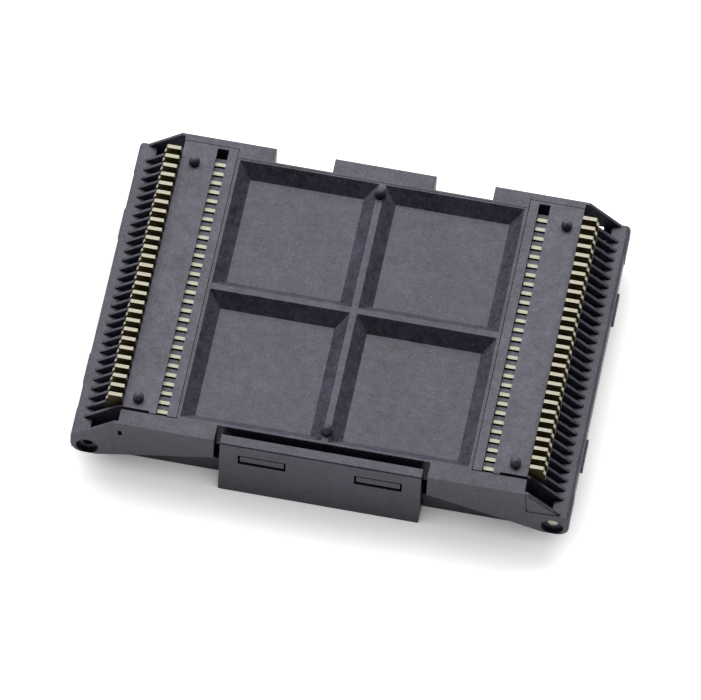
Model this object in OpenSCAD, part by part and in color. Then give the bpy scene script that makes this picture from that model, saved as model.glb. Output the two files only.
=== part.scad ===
// Surface-mount ZIF test socket for a 56-lead thin package with leads on its two short ends.
// The socket lies on its lid, board side up: Z = 0 is the lid's outer face, and the solder
// tails are the highest points. X runs across the two lead rows, Y along them.
// Profiles are drawn as [across, h], where h is the height above the circuit board in use,
// so a larger h is nearer to the lid.

/* [Package] */
// Spacing of the package's leads
pitch = 0.5; // [0.4:0.05:0.6]
// Number of leads along each row, in seven groups
leads_per_side = 28; // [14:7:35]
// Package body beyond the middle of the last lead
package_end = 0.25; // [0.2:0.05:0.5]
// Span over the package's lead tips
lead_span = 20; // [18:0.5:22]
// Height of the board face of the package's body above the board
seat_h = 1.95; // [1.9:0.05:2.1]
// Thickness of the package's body
package_t = 1.0; // [0.9:0.05:1.05]
// Gap between the package and the walls that centre it
package_gap = 0.12; // [0.08:0.01:0.15]

/* [Contacts] */
// Thickness of a stamped contact
blade_t = 0.18; // [0.14:0.01:0.22]
// Length of a solder tail
tail_l = 0.66; // [0.5:0.02:0.8]
// Distance of a tail's outer end inside the package's lead tips
tail_inset = 0.26; // [0.2:0.02:0.4]
// Height of the carriers' board face above the board
under_h = 0.5; // [0.4:0.02:0.55]
// Height of the contacts' top edge inside the carriers
blade_h = 0.78; // [0.72:0.02:0.84]
// Depth of a contact's body inside its carrier
blade_body = 0.44; // [0.36:0.02:0.46]
// Thickness of the spring arm
arm_t = 0.15; // [0.12:0.01:0.18]
// Radius of the rounded contact tip
tip_r = 0.12; // [0.08:0.01:0.14]

/* [Base] */
// Length of the socket along its lead rows, past the package on each side
end_wall = 0.81; // [0.7:0.01:0.95]
// Outer rail from the package's lead tips to the side face
rail_out = 1.12; // [1.0:0.02:1.3]
// Height of the comb rail's board face
rail_h = 1.8; // [1.7:0.02:1.9]
// Thickness of the comb rail
rail_t = 0.46; // [0.4:0.02:0.48]
// Thickness of a comb rib between two contacts
rib_t = 0.13; // [0.1:0.01:0.15]
// Width of a contact carrier
carrier_w = 2.43; // [2.2:0.01:2.6]
// Depth of a carrier
carrier_t = 0.75; // [0.75:0.01:0.8]
// Depth of the four moulding pockets in the board face
pocket_d = 0.58; // [0.4:0.02:0.7]
// Slope inset of the pocket walls
pocket_slope = 0.58; // [0.4:0.02:0.8]
// Width of the crossing ribs between the pockets
cross_rib = 0.3; // [0.2:0.02:0.5]
// Diameter of the middle standoff bumps
bump_d = 0.53; // [0.4:0.01:0.6]
// Diameter of the standoff bumps on the carriers
small_bump_d = 0.49; // [0.4:0.01:0.56]
// Height of a standoff bump with its domed top
bump_h = 0.38; // [0.32:0.01:0.39]

/* [Lid] */
// Height of the lid's outer face above the board
total_h = 4.25; // [4.2:0.01:4.5]
// Thickness of the lid's plate
lid_t = 0.6; // [0.5:0.02:0.7]
// Gap between the lid and the parts that it covers
lid_gap = 0.04; // [0.03:0.01:0.06]
// Width of the latch tab
latch_w = 9.0; // [7.5:0.1:9.4]
// Thickness of the latch tab
latch_t = 0.5; // [0.42:0.01:0.54]
// Width of a latch window
window_w = 2.14; // [1.6:0.02:2.4]
// Distance of a latch window's middle from the socket's middle
window_x = 2.6; // [2.2:0.05:2.8]
// Gap around a latch lug in its window
lug_gap = 0.09; // [0.06:0.01:0.12]

/* [Hinges] */
// Radius of the lid's hinge pins
pin_r = 0.2; // [0.15:0.01:0.22]
// Radius of the lid's hinge knuckles
knuckle_r = 0.42; // [0.36:0.01:0.44]
// Height of the lid hinge's axis above the board
hinge_h = 2.75; // [2.7:0.01:2.8]
// Width of a hinge arm of the lid
arm_w = 2.35; // [1.8:0.05:2.4]
// Radius of the clamp bars' steel rods
rod_r = 0.22; // [0.16:0.01:0.24]
// Depth of the wide mouth of a rod's hole
mouth_d = 0.25; // [0.2:0.01:0.3]
// Radius of the wide mouth of a rod's hole
mouth_r = 0.5; // [0.45:0.01:0.5]
// Radius of a clamp bar's barrel
barrel_r = 0.4; // [0.36:0.01:0.4]
// Radial clearance of a turning fit
turn_gap = 0.02; // [0.01:0.005:0.03]
// Radial clearance of a pin or rod held in the base
hold_gap = 0.005; // [0.002:0.001:0.01]

/* [Hidden] */
GROUPS = 7;
function side_groups(side) = [for (g = [1 : GROUPS]) str(side, "_contacts_", g)];
$fn = 48;

PLASTIC = [0.36, 0.345, 0.37];
PLASTIC_LID = [0.30, 0.29, 0.31];
PLASTIC_CARRIER = [0.39, 0.375, 0.40];
PLATED = [0.80, 0.76, 0.62];
STEEL = [0.62, 0.62, 0.60];

cut = 1;              // how far a cutting shape runs past a free face
lap = 0.1;            // how far joined shapes run into each other

// Along the lead rows
row_l = pitch * (leads_per_side - 1);
per_group = leads_per_side / GROUPS;
half_w = row_l / 2 + package_end;      // half the package's width
wall_in = half_w + package_gap;        // inner face of the front wall
half_y = wall_in + end_wall;           // outer end faces
notch_d = 0.74;                        // depth of the two rear notches
slab_rear = half_y - notch_d;
wall_t = 0.13;                         // end walls beside the combs
boss_in = half_w - 0.02;               // inner faces of the corner bosses
bump_inset = 0.55;
bump_y = half_w - bump_inset;
carrier_over = 0.55;                   // carriers' rear ends past the package
strip_l = 1.48;                        // strips on the sides at the corner bosses
rib_y = 0.09;                          // middle of the rib that runs across the socket

// Across the lead rows
lead_x = lead_span / 2;
side_x = lead_x + rail_out;            // outer side faces
tail_out = lead_x - tail_inset;
tail_in = tail_out - tail_l;
carrier_gap = 0.03;
carrier_out = tail_in - carrier_gap;
carrier_in = carrier_out - carrier_w;
slab_x = carrier_out;
comb_x = tail_in + 0.17;               // where the comb's slope starts
rail_in = lead_x + 0.2;                // wall that guides the lead tips
rail_slot = rail_in + 0.15;            // inner edge of the rail's flat between the ribs
slope_x = side_x - 0.37;               // where the slope meets the rail
block_x = carrier_in - 0.07;
pocket_x = block_x - 0.1;
bump_x = carrier_out - 0.62;

// Heights above the board
seat_gap = 0.02;
pocket_h = under_h + carrier_t + seat_gap;   // floor of a carrier's pocket
foot_h = seat_h - 0.1;                 // board face of the package's lead feet
rib_h = foot_h - 0.07;                 // lid side of the comb ribs
rail_low = rail_h + rail_t;
axis_h = rail_low + barrel_r + 0.06;   // axis of a clamp bar
axis_x = lead_x + 0.42;
bar_top = axis_h + 0.38;               // lid side of a clamp bar
boss_r = 0.5;
boss_h = axis_h + boss_r;              // lid side of the corner bosses
boss_top_x = axis_x - 0.42;            // inner end of a boss's flat
nose_h = foot_h + 0.19;                // clamp bar's nose, just on the lead feet
package_top = seat_h + package_t;

// Rods
rod_stop = 0.38;                       // wall left behind a rod's blind end
rod_end_gap = 0.02;
rod_play = 0.3;                        // how far a rod can shift along its hole

// Side nubs
nub_inset = 3.03;                      // from the package's edge to a nub's middle
nub_y = half_w - nub_inset;
nub_l = 1.55;
nub_out = 0.11;
strip_out = 0.04;

// Front wall's edge on the lid side, which drops from the latch to the corners
front_low_h = 1.88;
front_mid_in = 2.12;                   // from a rod's axis
front_mid_x = axis_x - front_mid_in;
front_mid_h = 2.76;

// Marks on the front wall
mark_d = 0.06;
pit_d = 0.12;
pit_x = comb_x - 0.29;
pit_w = 0.18;
pit_h0 = 1.05;
pit_h1 = 1.38;

// Latch
recess_gap = 0.27;                     // from the tab's side to the base
recess_x = latch_w / 2 + recess_gap;
latch_back = half_y - latch_t;         // inner face of the tab
foot_l = 0.4;
foot_y = half_w - foot_l;              // inner end of the tab's foot, in the lid's notch
foot_gap = 0.02;                       // gap around the foot
tab_h = 0.68;                          // board end of the tab
window_h0 = 1.38;
window_h1 = 2.02;

// Lid
lid_x = axis_x - barrel_r - 0.17;      // side edges, inside the clamp bars' barrels

// Lid hinge
hinge_y = half_y - knuckle_r - 0.03;
notch_in = 2.3;
arm_gap = 0.15;                        // on each side of a hinge arm
notch_out = notch_in + arm_w + 2 * arm_gap;
side_knuckle = 0.7;
pin_hold = 0.55;                       // length of a pin in the centre knuckle
pin_in = notch_in - pin_hold;
pin_out = notch_out + side_knuckle - 0.1;
rim_w = 0.4;                           // front and rear rims of the lid
pad_w = 0.6;                           // pads over the package
pad_end = 1.6;
pad_places = [1.2, 4.5];
panel_x = 1.2;                         // margins of the lid's sunk panel
panel_y = 1.1;
panel_d = 0.1;

// ---- drawing helpers -------------------------------------------------------------------

function at_h(pts) = [for (p = pts) [p[0], total_h - p[1]]];
function lead_y(i) = row_l / 2 - i * pitch;

// A profile of [x, h] points, drawn out along Y
module along_y(y0, y1, pts) {
  translate([0, y1, 0]) rotate([90, 0, 0]) linear_extrude(y1 - y0) polygon(at_h(pts));
}

// A profile of [y, h] points, drawn out along X
module along_x(x0, x1, pts) {
  translate([x0, 0, 0]) rotate([90, 0, 90]) linear_extrude(x1 - x0) polygon(at_h(pts));
}

// A box between two heights above the board
module block(x0, x1, y0, y1, h0, h1) {
  translate([x0, y0, total_h - h1]) cube([x1 - x0, y1 - y0, h1 - h0]);
}

// A round bar along Y, and one along X
module bar_y(x, h, y0, y1, r) {
  translate([x, y1, total_h - h]) rotate([90, 0, 0]) cylinder(h = y1 - y0, r = r);
}
module bar_x(y, h, x0, x1, r) {
  translate([x0, y, total_h - h]) rotate([0, 90, 0]) cylinder(h = x1 - x0, r = r);
}

module both_sides() {
  children();
  mirror([1, 0, 0]) children();
}

// ---- base ------------------------------------------------------------------------------

// Cross-section of a comb side: sloping ribs, the rail, and the skirt beside the clamp bar
module comb_side() {
  skirt_h = axis_h + 0.2;
  skirt_x = side_x - 0.17;
  along_y(-half_y, half_y, [
    [slab_x - lap, under_h], [comb_x, under_h], [slope_x, rail_h], [side_x - 0.12, rail_h],
    [side_x, rail_h + 0.12], [side_x, skirt_h], [skirt_x, skirt_h], [skirt_x, rail_low],
    [rail_in, rail_low], [rail_in, rib_h], [slab_x - lap, rib_h]]);
}

// One opening between two ribs, which ends at the rail's flat
module comb_slot(y0, y1, x0, low) {
  along_y(y0, y1, [
    [x0, pocket_h - lap], [tail_in - 0.01, pocket_h - lap], [tail_in - 0.01, under_h - lap],
    [comb_x, under_h - lap], [slope_x, rail_h - lap], [slope_x, rail_h],
    [rail_slot, rail_h], [rail_slot, low], [x0, low]]);
}

// Wider opening at each end of a comb, closed on the lid side above the rod's hole
module comb_end(y0, y1) {
  comb_slot(y0, y1, tail_in - 0.01, axis_h - mouth_r - wall_t);
}

// End walls on one side: low in the middle of the front, full height at the corner boss
module end_wall_half(y0, y1, low_x, low_h, mid_x, mid_h, x0) {
  round_r = 0.52;
  corner_x = side_x - round_r;
  difference() {
    along_y(y0, y1, [
      [x0, under_h], [comb_x, under_h], [slope_x, rail_h], [side_x - 0.12, rail_h],
      [side_x, rail_h + 0.12], [side_x, boss_h], [boss_top_x, boss_h],
      [mid_x, mid_h], [low_x, low_h], [x0, low_h]]);
    difference() {
      block(corner_x, side_x + cut, y0 - cut, y1 + cut, boss_h - round_r, boss_h + cut);
      bar_y(corner_x, boss_h - round_r, y0 - cut, y1 + cut, round_r);
    }
  }
}

// Round boss that holds the end of a clamp bar's rod
module corner_boss(y0, y1) {
  bar_y(axis_x, axis_h, y0, y1, boss_r);
  block(axis_x - 0.22, side_x - 0.17, y0, y1, rail_h + 0.2, axis_h);
}

module hinge_knuckle(x0, x1) {
  bar_x(hinge_y, hinge_h, x0, x1, knuckle_r);
  block(x0, x1, hinge_y - knuckle_r, hinge_y + knuckle_r, seat_h - lap, hinge_h);
}

// Moulding pocket with sloping walls, between y0 and y1: two crossed trapezium prisms
module pocket(y0, y1) {
  x0 = cross_rib / 2;
  x1 = pocket_x;
  low = under_h + pocket_d;
  s = pocket_slope;
  up = s * cut / pocket_d;
  intersection() {
    along_y(-half_y, half_y, [
      [x0 - up, under_h - cut], [x1 + up, under_h - cut], [x1 - s, low], [x0 + s, low]]);
    along_x(-side_x, side_x, [
      [y0 - up, under_h - cut], [y1 + up, under_h - cut], [y1 - s, low], [y0 + s, low]]);
  }
}

// Wedge-backed lug that fills a window of the latch tab
module latch_lug() {
  sunk = 0.02;                         // lug's face behind the tab's
  face = half_y - sunk;
  h0 = window_h0 + lug_gap;
  h1 = window_h1 - lug_gap;
  w = window_w / 2 - lug_gap;
  lead_in = 0.09;
  along_x(window_x - w, window_x + w, [
    [-wall_in + lap, h0], [-face, h0], [-face, h1 - lead_in], [-face + lead_in, h1], [-wall_in + lap, h1]]);
}

// Round bump with a half-round top
module standoff(x, y, d) {
  sunk = 0.25;
  straight = bump_h - d / 2;
  translate([x, y, total_h - under_h]) {
    translate([0, 0, -sunk]) cylinder(h = straight + sunk, d = d);
    translate([0, 0, straight]) sphere(d = d);
  }
}

// Groove round a triangle on the right of the front wall, open along the wall's sloping edge
module front_mark() {
  corners = [[comb_x - 0.15, under_h - 0.04], [slope_x + 0.02, rail_h], [comb_x - 0.04, rail_h + 0.07]];
  middle = (corners[0] + corners[1] + corners[2]) / 3;
  inner = [for (p = corners) p + 0.14 * (middle - p)];
  difference() {
    along_y(-half_y - cut, -half_y + mark_d, corners);
    along_y(-half_y - 2 * cut, -half_y + cut, inner);
  }
}

// Narrow line where two mould inserts meet in the board face
module mould_line() {
  line_w = 0.04;
  line_d = 0.02;
  line_y = half_w + 0.06;
  block(-block_x, block_x, line_y, line_y + line_w, under_h - cut, under_h + line_d);
}

module base_solid() {
  rear_h = seat_h + 0.05;
  block(-slab_x, slab_x, -wall_in, slab_rear, under_h, seat_h);
  both_sides() {
    comb_side();
    end_wall_half(-half_y, -wall_in + lap, recess_x, front_low_h, front_mid_x, front_mid_h, recess_x);
    end_wall_half(slab_rear - lap, half_y, notch_out, rear_h, boss_top_x - 0.05, rear_h, notch_out);
    corner_boss(-half_y, -boss_in);
    corner_boss(boss_in, half_y);
    hinge_knuckle(notch_out, notch_out + side_knuckle);
    latch_lug();
    for (s = [-1, 1]) {
      block(side_x - lap, side_x + strip_out, s > 0 ? half_y - strip_l : -half_y,
            s > 0 ? half_y : -half_y + strip_l, rail_h + 0.25, axis_h);
      block(side_x - lap, side_x + nub_out, s * nub_y - nub_l / 2, s * nub_y + nub_l / 2,
            axis_h - 0.2, axis_h + 0.2);
    }
  }
  block(-notch_in, notch_in, slab_rear - lap, half_y, under_h, rear_h);
  hinge_knuckle(-notch_in + 0.05, notch_in - 0.05);
}

module base_frame() {
  color(PLASTIC) {
    difference() {
      base_solid();
      both_sides() {
        // room for the contact carrier
        block(carrier_in - carrier_gap, tail_in, -wall_in - carrier_gap,
              half_w + carrier_over + carrier_gap, under_h - cut, pocket_h);
        // combs: one slot for each contact, and a wider opening at each end
        for (i = [0 : leads_per_side - 1]) {
          comb_slot(lead_y(i) - (pitch - rib_t) / 2, lead_y(i) + (pitch - rib_t) / 2, tail_in - 0.83,
                    rail_low + lap);
        }
        comb_end(-half_y + wall_t, -row_l / 2 - (pitch + rib_t) / 2);
        comb_end(row_l / 2 + (pitch + rib_t) / 2, half_y - wall_t);
        // four moulding pockets
        pocket(rib_y + cross_rib / 2, half_w);
        pocket(-half_w, rib_y - cross_rib / 2);
        // rod holes, wide at the front where the rod goes in
        bar_y(axis_x, axis_h, -half_y - cut, half_y - rod_stop, rod_r + hold_gap);
        bar_y(axis_x, axis_h, -half_y - cut, -half_y + mouth_d, mouth_r);
        // hinge pin holes, from the centre knuckle out through the side knuckle
        bar_x(hinge_y, hinge_h, pin_in, notch_out + side_knuckle + cut / 2, pin_r + hold_gap);
      }
      front_mark();
      // small pit on the left of the front wall
      block(-pit_x - pit_w / 2, -pit_x + pit_w / 2, -half_y - cut, -half_y + pit_d, pit_h0, pit_h1);
      mould_line();
    }
    standoff(0, bump_y, bump_d);
    standoff(0, -bump_y, bump_d);
  }
}

// ---- contacts and their carriers ---------------------------------------------------------

window_margin = 0.41;                  // from the carrier's inner edge to its window
window_open = 0.51;                    // width of the window over the contacts' inner ends
window_in = carrier_in + window_margin;
window_out = window_in + window_open;
blade_in = window_in + 0.03;

// Strip that holds one row of contacts, right-hand side
module contact_carrier() {
  front = -wall_in + 0.02;
  rear = half_w + carrier_over;
  window_rear = half_w + 0.42;
  channel_h = blade_h + 0.07;            // ribs between the contacts' inner ends
  low = under_h + carrier_t;
  difference() {
    block(carrier_in, carrier_out, front, rear, under_h, low);
    // stepped front end
    block(window_out + 0.3, carrier_out + cut, front - cut, front + 0.1, under_h - cut, low + cut);
    // window that shows the contacts' inner ends, open at the front and deeper at the rear
    block(window_in, window_out, front - cut, window_rear, under_h - cut, channel_h);
    block(window_in, window_out, half_w + 0.1, window_rear, under_h - cut, low + cut);
    // a slot for each contact, wider in the window
    for (i = [0 : leads_per_side - 1]) {
      y = lead_y(i);
      block(blade_in - 0.02, carrier_out + cut, y - blade_t / 2 - 0.01, y + blade_t / 2 + 0.01,
            blade_h - 0.02, low + cut);
      block(window_in, window_out, y - blade_t / 2 - 0.05, y + blade_t / 2 + 0.05,
            blade_h, blade_h + blade_body);
    }
  }
  standoff(bump_x, bump_y, small_bump_d);
  standoff(bump_x, -bump_y, small_bump_d);
}

module left_contact_carrier() { color(PLASTIC_CARRIER) mirror([1, 0, 0]) contact_carrier(); }
module right_contact_carrier() { color(PLASTIC_CARRIER) contact_carrier(); }

// One stamped contact: solder tail, body in the carrier, and a spring arm with a round tip
module contact(y) {
  y0 = y - blade_t / 2;
  y1 = y + blade_t / 2;
  body_low = blade_h + blade_body;
  toe = tail_out + 0.09;
  web_h = 1.08;                        // lid side of the web under the tail
  tip_x = lead_x - 0.28;
  tip_h = foot_h - 0.01;
  root_x = tail_in - 0.78;
  arm_h = pocket_h + 0.16;
  along_y(y0, y1, [
    [blade_in, blade_h], [tail_in, blade_h], [tail_in, 0.03], [tail_in + 0.03, 0],
    [tail_out - 0.04, 0], [tail_out, 0.05], [tail_out, 0.16], [tail_out - 0.03, 0.19],
    [toe, 0.42], [toe, web_h - 0.08], [toe - 0.12, web_h], [tail_in + 0.1, web_h],
    [tail_in, body_low], [blade_in, body_low]]);
  along_y(y0, y1, [
    [root_x, body_low - lap], [root_x, arm_h - 0.08], [root_x + 0.1, arm_h],
    [tip_x - 0.36, arm_h + 0.13], [tip_x - 0.1, tip_h - 0.08], [tip_x + 0.1, tip_h - 0.08],
    [tip_x + 0.28, tip_h - 0.24], [tip_x + 0.18, tip_h - 0.24 - arm_t * 0.6],
    [tip_x, tip_h - arm_t - 0.06], [tip_x - 0.24, arm_h + 0.13 - arm_t],
    [root_x + 0.3, arm_h - arm_t], [root_x + 0.24, body_low - lap]]);
  bar_y(tip_x, tip_h - tip_r, y0, y1, tip_r);
}

module contact_group(g) {
  color(PLATED) for (i = [(g - 1) * per_group : g * per_group - 1]) contact(lead_y(i));
}

module left_contacts(g) { mirror([1, 0, 0]) contact_group(g); }
module right_contacts(g) { contact_group(g); }

// ---- clamp bars --------------------------------------------------------------------------

// Bar that swings over one row of leads and presses on their feet, right-hand side
module clamp_bar() {
  end = boss_in - 0.05;
  nose_w = 0.28;                       // flat that presses on the lead feet
  nose_x = lead_x - 0.4;
  nose_back = 0.1;
  nose_side = 0.46;                    // height of the nose's inner side
  nose_step = 0.36;
  difference() {
    union() {
      bar_y(axis_x, axis_h, -end, end, barrel_r);
      along_y(-end, end, [
        [axis_x, bar_top], [nose_x + 0.02, bar_top], [nose_x - nose_back, bar_top - 0.12],
        [nose_x - nose_back, nose_h + nose_side], [nose_x, nose_h], [nose_x + nose_w, nose_h],
        [nose_x + nose_w + nose_back, nose_h + nose_step], [axis_x, axis_h - barrel_r + 0.02]]);
    }
    bar_y(axis_x, axis_h, -half_y, half_y, rod_r + turn_gap);
  }
}

module left_clamp_bar() { color(PLASTIC_LID) mirror([1, 0, 0]) clamp_bar(); }
module right_clamp_bar() { color(PLASTIC_LID) clamp_bar(); }

// Rod of a clamp bar, back from the front end of its travel
module clamp_rod(back) {
  rear = half_y - rod_stop - rod_end_gap - rod_play;
  bar_y(axis_x, axis_h, -half_y + mouth_d + back, rear + back, rod_r);
}

module left_clamp_rod() { color(STEEL) mirror([1, 0, 0]) clamp_rod(rod_play); }
module right_clamp_rod() { color(STEEL) clamp_rod(0); }

// ---- lid -----------------------------------------------------------------------------------

module hinge_pin() { bar_x(hinge_y, hinge_h, pin_in + 0.02, pin_out, pin_r); }
module left_hinge_pin() { color(STEEL) mirror([1, 0, 0]) hinge_pin(); }
module right_hinge_pin() { color(STEEL) hinge_pin(); }

// Spring tab that snaps over the base's two lugs; its foot lies in a notch of the lid
module front_latch() {
  w = latch_w / 2;
  r = 0.08;                            // rounding of the lower corners
  edge = 0.05;
  color(PLASTIC_LID) difference() {
    union() {
      along_x(-w, w, [
        [-half_y, total_h], [-half_y, tab_h + edge], [-half_y + edge, tab_h],
        [-latch_back, tab_h], [-latch_back, total_h]]);
      block(-w, w, -latch_back - lap, -foot_y, total_h - lid_t, total_h);
    }
    both_sides() {
      block(window_x - window_w / 2, window_x + window_w / 2, -half_y - cut, -latch_back + cut / 4,
            window_h0, window_h1);
      // rounded lower corners of the front face
      difference() {
        block(w - r, w + cut, -half_y - cut, -half_w - 0.05, total_h - r, total_h + cut);
        bar_y(w - r, total_h - r, -half_y - cut, -half_w, r);
      }
    }
  }
}

module hinge_arm() {
  x0 = notch_in + arm_gap;
  root = half_w - 0.5;
  bend = 0.3;                          // slopes that lead from the plate to the knuckle
  bar_x(hinge_y, hinge_h, x0, x0 + arm_w, knuckle_r);
  along_x(x0, x0 + arm_w, [
    [root, total_h], [half_w + bend, total_h], [hinge_y + knuckle_r, total_h - 2 * bend],
    [hinge_y + knuckle_r, hinge_h], [hinge_y - knuckle_r, hinge_h],
    [half_w - 0.02, total_h - lid_t - bend], [root, total_h - lid_t]]);
}

module lid() {
  inner_h = total_h - lid_t;
  rim_h = inner_h - rim_w;
  press_h = bar_top + lid_gap;
  color(PLASTIC_LID) difference() {
    union() {
      block(-lid_x, lid_x, -half_w, half_w, inner_h, total_h);
      // rims along the front and rear edges
      for (s = [-1, 1]) {
        block(-lid_x, lid_x, s > 0 ? half_w - rim_w : -half_w, s > 0 ? half_w : -half_w + rim_w,
              rim_h, inner_h + lap);
      }
      both_sides() {
        // rail that holds the clamp bar down, and two pads over the package
        block(lid_x - rim_w, lid_x, -half_w, half_w, press_h, inner_h + lap);
        for (x = pad_places) {
          block(x - pad_w / 2, x + pad_w / 2, -half_w + pad_end, half_w - pad_end,
                package_top + lid_gap, inner_h + lap);
        }
        hinge_arm();
      }
    }
    // notch for the latch tab's foot
    block(-latch_w / 2 - foot_gap, latch_w / 2 + foot_gap, -half_w - cut, -foot_y + foot_gap,
          inner_h, total_h + cut);
    // shallow panel in the outer face
    block(-lid_x + panel_x, lid_x - panel_x, -half_w + panel_y, half_w - panel_y,
          total_h - panel_d, total_h + cut);
    both_sides() bar_x(hinge_y, hinge_h, notch_in, notch_out, pin_r + turn_gap);
  }
}

// ---- nodes ---------------------------------------------------------------------------------

base_frame();
left_contact_carrier();
right_contact_carrier();
for (g = [1 : GROUPS]) {
  left_contacts(g);
  right_contacts(g);
}
left_clamp_bar();
right_clamp_bar();
left_clamp_rod();
right_clamp_rod();
left_hinge_pin();
right_hinge_pin();
lid();
front_latch();
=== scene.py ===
# %% [markdown]
# # A test socket for a thin package, lying solder side up
# This lesson dresses a finished CAD model of a small zero-force socket. The socket is only
# 22 mm long, so everything here is in fractions of a millimetre. The shapes are fixed and come
# from the CAD frame: what we add is finish, light and a camera. The first cell loads the frame
# and keeps its box, which places the floor and the camera.

# %% Load the frame
import math

import bpy
from mathutils import Matrix, Vector


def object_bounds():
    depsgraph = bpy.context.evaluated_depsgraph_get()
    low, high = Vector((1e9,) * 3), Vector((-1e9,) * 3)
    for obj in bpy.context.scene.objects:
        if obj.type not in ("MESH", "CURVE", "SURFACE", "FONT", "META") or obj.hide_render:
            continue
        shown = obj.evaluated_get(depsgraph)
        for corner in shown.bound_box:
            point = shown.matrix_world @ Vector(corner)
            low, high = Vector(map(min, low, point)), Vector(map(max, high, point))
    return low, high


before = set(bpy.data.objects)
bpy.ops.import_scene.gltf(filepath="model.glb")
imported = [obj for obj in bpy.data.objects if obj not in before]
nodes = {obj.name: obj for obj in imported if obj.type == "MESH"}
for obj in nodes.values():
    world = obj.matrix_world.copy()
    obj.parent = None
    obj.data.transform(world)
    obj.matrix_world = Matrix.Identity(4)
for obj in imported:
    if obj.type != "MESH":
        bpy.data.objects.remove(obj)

MM = 0.001
PER_MM = 1000.0

cad_low, cad_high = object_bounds()
print("nodes:", len(nodes), "box mm:", [round(side / MM, 2) for side in cad_high - cad_low])

# %% [markdown]
# ## Maths on shader sockets
# A node material is a small program, and typing its sums as sums makes it far easier to read.
# One could wire every Math node by hand, but a formula soon takes a page. So this class wraps a
# socket and overloads the two operators that we use. Adding and multiplying work either way
# round, so 0.4 * grain and grain * 0.4 can share one method.

# %% A socket that can do sums
class Sum:
    def __init__(self, sheet, socket):
        self.sheet = sheet
        self.socket = socket

    def _maths(self, operation, first, second):
        return self.sheet.node("ShaderNodeMath", {"operation": operation}, {0: first, 1: second})

    def __add__(self, other):
        return self._maths("ADD", self, other)

    def __mul__(self, other):
        return self._maths("MULTIPLY", self, other)

    __radd__ = __add__
    __rmul__ = __mul__


# %% [markdown]
# ## One way to make a node
# Materials and the sky are both node trees, so one method serves them all: it takes the node's
# type, then its settings, then what goes into its sockets, which may be plain values or links.
# The settings come first because some of them change which sockets a node has.

# %% A node tree to write on
class Sheet:
    def __init__(self, tree):
        self.tree = tree

    def node(self, kind, settings=None, inputs=None, output=0):
        made = self.tree.nodes.new(kind)
        for key, value in (settings or {}).items():
            if key == "stops":
                self.set_stops(made.color_ramp.elements, value)
            else:
                setattr(made, key, value)
        for key, value in (inputs or {}).items():
            self.feed(made.inputs[key], value)
        return Sum(self, made.outputs[output])

    def set_stops(self, marks, stops):
        while len(marks) < len(stops):
            marks.new(0.5)
        for mark, (place, colour) in zip(marks, stops):
            mark.position = place
            mark.color = (*colour, 1.0)

    def feed(self, socket, value):
        if isinstance(value, Sum):
            self.tree.links.new(value.socket, socket)
        else:
            socket.default_value = value


class Paint(Sheet):
    """One node material, with its Principled shader ready to be fed."""

    def __init__(self, name):
        self.material = bpy.data.materials.new(name)
        self.material.use_nodes = True
        super().__init__(self.material.node_tree)
        self.shader = self.tree.nodes["Principled BSDF"]

    def set(self, **inputs):
        for name, value in inputs.items():
            self.feed(self.shader.inputs[name.replace("_", " ")], value)


# %% [markdown]
# ## Moulded plastic
# The base and its carriers are moulded in a glass-filled resin that stands soldering heat. It is
# nearly black. Level faces still look grey, because its satin skin mirrors the broad lamp behind
# it, while walls that turn away stay dark. So the colour is kept dark and the skin gets an
# ordinary sheen. Painting the grey itself would be simpler, but then the walls turn grey too.
# Three noises, from broad to fine, give a cloudy mottling, and a fourth leaves pale fibre ends.

# %% The plastic recipe
SHEEN = 0.5                # ordinary sheen of a resin's skin
SKIN_DEPTH = 0.01 * MM     # depth of the finest texture on any surface


def blend(sheet, share, first, second):
    return sheet.node("ShaderNodeMix", {"data_type": "RGBA"},
                      {0: share, 6: first, 7: second}, output=2)


def peaks(sheet, pattern, low, high):
    return sheet.node("ShaderNodeMapRange", {"interpolation_type": "SMOOTHSTEP"},
                      {"Value": pattern, "From Min": low, "From Max": high})


def noise(sheet, place, per_mm, detail, roughness):
    return sheet.node("ShaderNodeTexNoise", {},
                      {"Vector": place, "Scale": per_mm * PER_MM, "Detail": detail,
                       "Roughness": roughness})


def shade(colour, share):
    return tuple(share * channel for channel in colour)


def skin_bump(sheet, strength, height):
    return sheet.node("ShaderNodeBump", {},
                      {"Strength": strength, "Distance": SKIN_DEPTH, "Height": height})


def moulded_plastic(name, dark, fibre, roughness):
    paint = Paint(name)
    place = paint.node("ShaderNodeTexCoord", output="Object")
    area = noise(paint, place, 0.45, 3.0, 0.65)
    cloud = noise(paint, place, 2.2, 5.0, 0.65)
    grain = noise(paint, place, 7.0, 4.0, 0.65)
    ends = noise(paint, place, 13.0, 2.0, 0.65)
    mottle = 0.2 * area + 0.4 * cloud + 0.4 * grain
    resin = paint.node("ShaderNodeValToRGB",
                       {"stops": [(0.36, shade(dark, 0.35)), (0.66, shade(dark, 1.9))]},
                       {"Fac": mottle})
    colour = blend(paint, peaks(paint, ends, 0.62, 0.74), resin, (*fibre, 1.0))
    skin = skin_bump(paint, 0.5, 0.6 * grain + 0.4 * ends)
    paint.set(Base_Color=colour, Roughness=roughness + 0.10 * grain + 0.10 * cloud, Normal=skin,
              Specular_IOR_Level=SHEEN)
    print(name, "made")
    return paint.material


base_plastic = moulded_plastic("base_plastic", dark=(0.078, 0.075, 0.108),
                               fibre=(0.28, 0.28, 0.36), roughness=0.37)
# The carriers take a paler copy of the same resin. The extra paleness is painted light, so that their
# raised tops read brighter than the pocket floors.
carrier_plastic = moulded_plastic("carrier_plastic", dark=(0.098, 0.094, 0.132),
                                  fibre=(0.30, 0.30, 0.38), roughness=0.37)
lid_plastic = moulded_plastic("lid_plastic", dark=(0.070, 0.069, 0.105),
                              fibre=(0.20, 0.20, 0.27), roughness=0.35)

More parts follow.
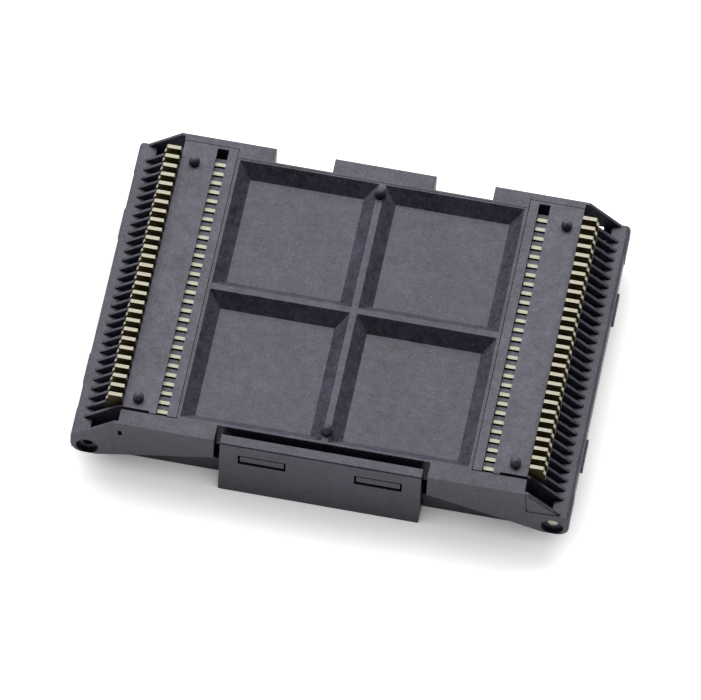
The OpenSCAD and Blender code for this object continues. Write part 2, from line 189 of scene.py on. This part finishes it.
# %% [markdown]
# ## Plated contacts and steel rods
# The contacts are stamped from a spring alloy. Their cut edges, which face the board, are pale,
# and the broad faces of the sheet keep the warm tone of the plating. An edge and a face point
# different ways, so the surface's own direction can choose between the two colours. The rods
# are ground steel. Both get a fine noise in their roughness, because perfectly even metal looks
# like a mirror that nobody has ever made.

# %% The metal recipe
def facing_along_row(paint):
    direction = paint.node("ShaderNodeTexCoord", output="Normal")
    along = paint.node("ShaderNodeSeparateXYZ", {}, {0: direction}, output="Y")
    return peaks(paint, along * along, 0.4, 0.6)


def metal(name, edge, face, roughness, share):
    paint = Paint(name)
    place = paint.node("ShaderNodeTexCoord", output="Object")
    patch = noise(paint, place, 3.0, 4.0, 0.6)
    worn_edge = paint.node("ShaderNodeValToRGB",
                           {"stops": [(0.35, shade(edge, 0.85)), (0.68, edge)]}, {"Fac": patch})
    colour = blend(paint, facing_along_row(paint), worn_edge, (*face, 1.0))
    skin = skin_bump(paint, 0.2, patch)
    paint.set(Base_Color=colour, Metallic=share, Roughness=roughness + 0.2 * patch, Normal=skin)
    print(name, "made")
    return paint.material


plated_contact = metal("plated_contact", edge=(0.33, 0.32, 0.25), face=(0.22, 0.17, 0.08),
                       roughness=0.30, share=0.8)
rod_steel = metal("rod_steel", edge=(0.62, 0.60, 0.52), face=(0.62, 0.59, 0.48),
                  roughness=0.26, share=0.8)

# %% [markdown]
# ## Give every part its finish
# A CAD node keeps its mesh and its place. Only its material slot changes, so the parts can be
# looked up by name and painted in one pass.

# %% Paint the nodes
FINISHES = {"contacts": plated_contact, "rod": rod_steel, "pin": rod_steel,
            "carrier": carrier_plastic, "base_frame": base_plastic}


def finish_for(name):
    for word, finish in FINISHES.items():
        if word in name:
            return finish
    return lid_plastic


for name, part in nodes.items():
    part.data.materials.clear()
    part.data.materials.append(finish_for(name))
print("painted", len(nodes), "nodes")

# %% [markdown]
# ## Floor
# A product this small usually lies on a plain white sheet. The sheet has to look white and still
# show a soft shadow. More lamp light would whiten it, but it would bleach the socket too. So the
# sheet glows, at the strength of plain white, for the camera and for shiny surfaces only. The
# glow is weaker where the socket hides the sky from the sheet, which keeps the contact shadow.

# %% The floor
def seen_directly(sheet):
    camera_ray = sheet.node("ShaderNodeLightPath", output="Is Camera Ray")
    glossy_ray = sheet.node("ShaderNodeLightPath", output="Is Glossy Ray")
    clear_ray = sheet.node("ShaderNodeLightPath", output="Is Transmission Ray")
    return camera_ray + glossy_ray + clear_ray


SHEET_GAP = 0.01 * MM      # keeps the sheet clear of the face that lies on it


def white_sheet(half_width, glow, reach):
    corners = [(-half_width, -half_width, 0), (half_width, -half_width, 0),
               (half_width, half_width, 0), (-half_width, half_width, 0)]
    mesh = bpy.data.meshes.new("sheet")
    mesh.from_pydata(corners, [], [(0, 1, 2, 3)])
    sheet = bpy.data.objects.new("sheet", mesh)
    bpy.context.scene.collection.objects.link(sheet)
    sheet.location.z = cad_low.z - SHEET_GAP
    paint = Paint("white_sheet")
    open_sky = paint.node("ShaderNodeAmbientOcclusion", {"samples": 16},
                          {"Color": (glow, glow, glow, 1.0), "Distance": reach})
    lift = blend(paint, seen_directly(paint), (0.0, 0.0, 0.0, 1.0), open_sky)
    paint.set(Base_Color=(0.9, 0.9, 0.9, 1.0), Roughness=0.9, Specular_IOR_Level=0.0,
              Emission_Color=lift, Emission_Strength=1.0)
    mesh.materials.append(paint.material)
    return sheet


sheet = white_sheet(half_width=0.6, glow=1.0, reach=4 * MM)
print("sheet at z", round(sheet.location.z / MM, 3), "mm")

# %% [markdown]
# ## Light
# One broad lamp hangs behind the socket, about as far round and as high as the camera is in
# front, so level faces mirror it and read as grey. It hangs a little to the left, because walls
# that face left are the paler ones. Walls that face the camera mirror only the dim sky and stay
# dark. An even sky would be simpler, but it fills every slot with light. So the sky is dim for
# every surface that it lights or that mirrors it, and plain white only for the camera.

# %% Sky and lamps
def tent_sky(level):
    world = bpy.data.worlds.new("tent")
    bpy.context.scene.world = world
    world.use_nodes = True
    sky = Sheet(world.node_tree)
    white = (1.0, 1.0, 1.0, 1.0)
    lighting = sky.node("ShaderNodeBackground", {}, {"Color": white, "Strength": level})
    seen = sky.node("ShaderNodeBackground", {}, {"Color": white, "Strength": 1.0})
    camera_ray = sky.node("ShaderNodeLightPath", output="Is Camera Ray")
    both = sky.node("ShaderNodeMixShader", {}, {0: camera_ray, 1: lighting, 2: seen})
    sky.feed(sky.tree.nodes["World Output"].inputs["Surface"], both)


def soft_lamp(name, turn, rise, distance, width, depth, watts):
    """A rectangular lamp, turn degrees round from straight behind and rise degrees up."""
    turn, rise = math.radians(turn), math.radians(rise)
    place = distance * Vector((-math.sin(turn) * math.cos(rise),
                               math.cos(turn) * math.cos(rise), math.sin(rise)))
    light = bpy.data.lights.new(name, "AREA")
    light.shape = "RECTANGLE"
    light.size = width
    light.size_y = depth
    light.energy = watts
    lamp = bpy.data.objects.new(name, light)
    lamp.location = place
    lamp.rotation_euler = (-place).to_track_quat("-Z", "Y").to_euler()
    bpy.context.scene.collection.objects.link(lamp)
    print(name, watts, "W at", round(distance / MM), "mm")


tent_sky(level=0.03)
soft_lamp("key_lamp", turn=16, rise=52, distance=0.30, width=0.50, depth=0.24, watts=1.15)

# %% [markdown]
# ## Camera
# The camera stands far back with a long lens, so the edges of the socket stay almost parallel.
# It looks down at about 56 degrees from a little to the right, with a slight roll. Its place is
# worked out from those angles rather than typed as a bare point.

# %% The camera
def long_lens_camera(turn, rise, roll, distance, aside, above, lens):
    """Angles in degrees. The socket sits aside to the right of the picture's middle, and above it."""
    turn, rise, roll = math.radians(turn), math.radians(rise), math.radians(roll)
    right = Vector((math.cos(turn), math.sin(turn), 0))
    back = Vector((math.sin(turn) * math.cos(rise),
                   -math.cos(turn) * math.cos(rise), math.sin(rise)))
    up = back.cross(right)
    across = math.cos(roll) * right + math.sin(roll) * up
    upward = -math.sin(roll) * right + math.cos(roll) * up
    place = -aside * across - above * upward + distance * back
    place = place + Vector((0, 0, cad_high.z))
    data = bpy.data.cameras.new("long_lens_camera")
    data.sensor_width = 36.0
    data.lens = lens
    data.clip_end = 5.0
    camera = bpy.data.objects.new("long_lens_camera", data)
    turned = Matrix((across, upward, back)).transposed().to_4x4()
    camera.matrix_world = Matrix.Translation(place) @ turned
    bpy.context.scene.collection.objects.link(camera)
    bpy.context.scene.camera = camera
    return camera


camera = long_lens_camera(turn=7.8012, rise=56.1105, roll=3.3603, distance=541.7156 * MM,
                          aside=0.1596 * MM, above=1.9545 * MM, lens=629.71)
print("lens", round(camera.data.lens, 1), "mm")

bpy.context.scene.view_settings.view_transform = "Standard"
